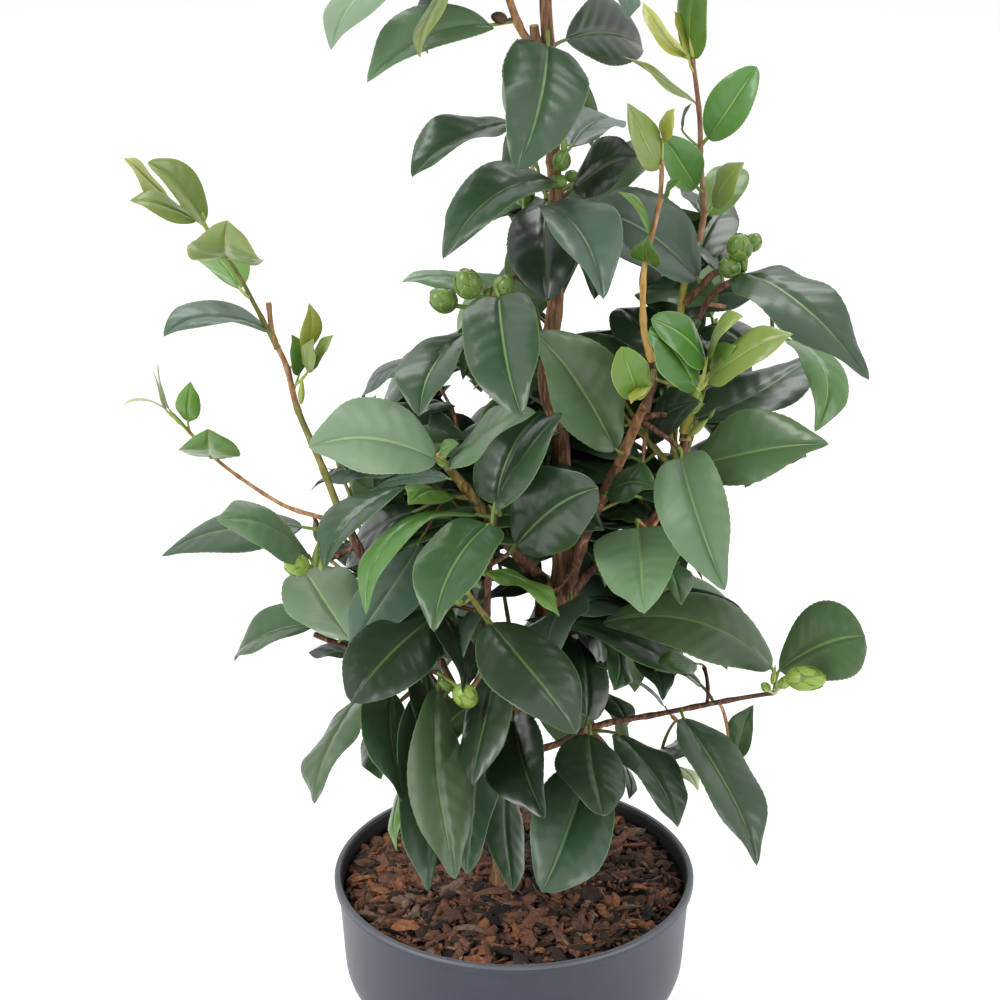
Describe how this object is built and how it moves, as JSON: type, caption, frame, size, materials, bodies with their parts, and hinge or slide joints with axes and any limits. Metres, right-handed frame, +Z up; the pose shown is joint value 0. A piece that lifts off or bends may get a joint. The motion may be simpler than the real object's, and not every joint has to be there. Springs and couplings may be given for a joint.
{
  "type": "camellia shrub in a nursery pot",
  "caption": "Young upright camellia shrub with a leaning main stem, open crown of glossy leaves and a round stepped nursery pot with bark mulch.",
  "frame": {"origin": "centre of the pot's flat underside", "axes": "+Z up, front of the plant towards -Y, +X to the right"},
  "size_m": [0.3713, 0.3069, 0.7338],
  "materials": {
    "pot_plastic": "satin moulded plastic, dark grey",
    "bark_chips": "loose composted bark chips",
    "bark": "smooth brown bark",
    "green_stem": "young yellow-green shoot",
    "foliage": "glossy evergreen leaves"
  },
  "bodies": {
    "root": {"bark_mulch": "bark_chips", "bough_back": "bark", "bough_back_left": "bark", "bough_back_low_right": "bark", "bough_back_right": "bark", "bough_back_right_side": "bark", "bough_back_top": "bark", "bough_back_upper": "bark", "bough_front": "bark", "bough_left": "bark", "bough_left_low": "bark", "bough_low_right": "bark", "bough_right": "bark", "bough_right_outer": "bark", "bough_top_left": "bark", "leaves_back_left": "foliage", "leaves_back_low": "foliage", "leaves_back_low_left": "foliage", "leaves_back_low_right": "foliage", "leaves_back_right": "foliage", "leaves_back_top": "foliage", "leaves_back_upper": "foliage", "leaves_centre": "foliage", "leaves_centre_low": "foliage", "leaves_crown_top": "foliage", "leaves_far_left_sprout": "foliage", "leaves_front_hanging": "foliage", "leaves_high_shoot": "foliage", "leaves_inner_shoot": "foliage", "leaves_left_centre": "foliage", "leaves_left_low": "foliage", "leaves_left_middle": "foliage", "leaves_left_outer": "foliage", "leaves_left_shoot_blade": "foliage", "leaves_left_shoot_sprout": "foliage", "leaves_left_shoot_tip": "foliage", "leaves_right_low": "foliage", "leaves_right_low_shoot": "foliage", "leaves_right_middle": "foliage", "leaves_right_outer": "foliage", "leaves_top_front": "foliage", "leaves_top_left": "foliage", "leaves_upper_left": "foliage", "leaves_upper_right": "foliage", "pot": "pot_plastic", "stem_far_left_shoot": "green_stem", "stem_high_shoot": "green_stem", "stem_inner_shoot": "green_stem", "stem_left_shoot": "green_stem", "stem_left_side_shoot": "green_stem", "trunk": "bark"}
  },
  "joints": []
}
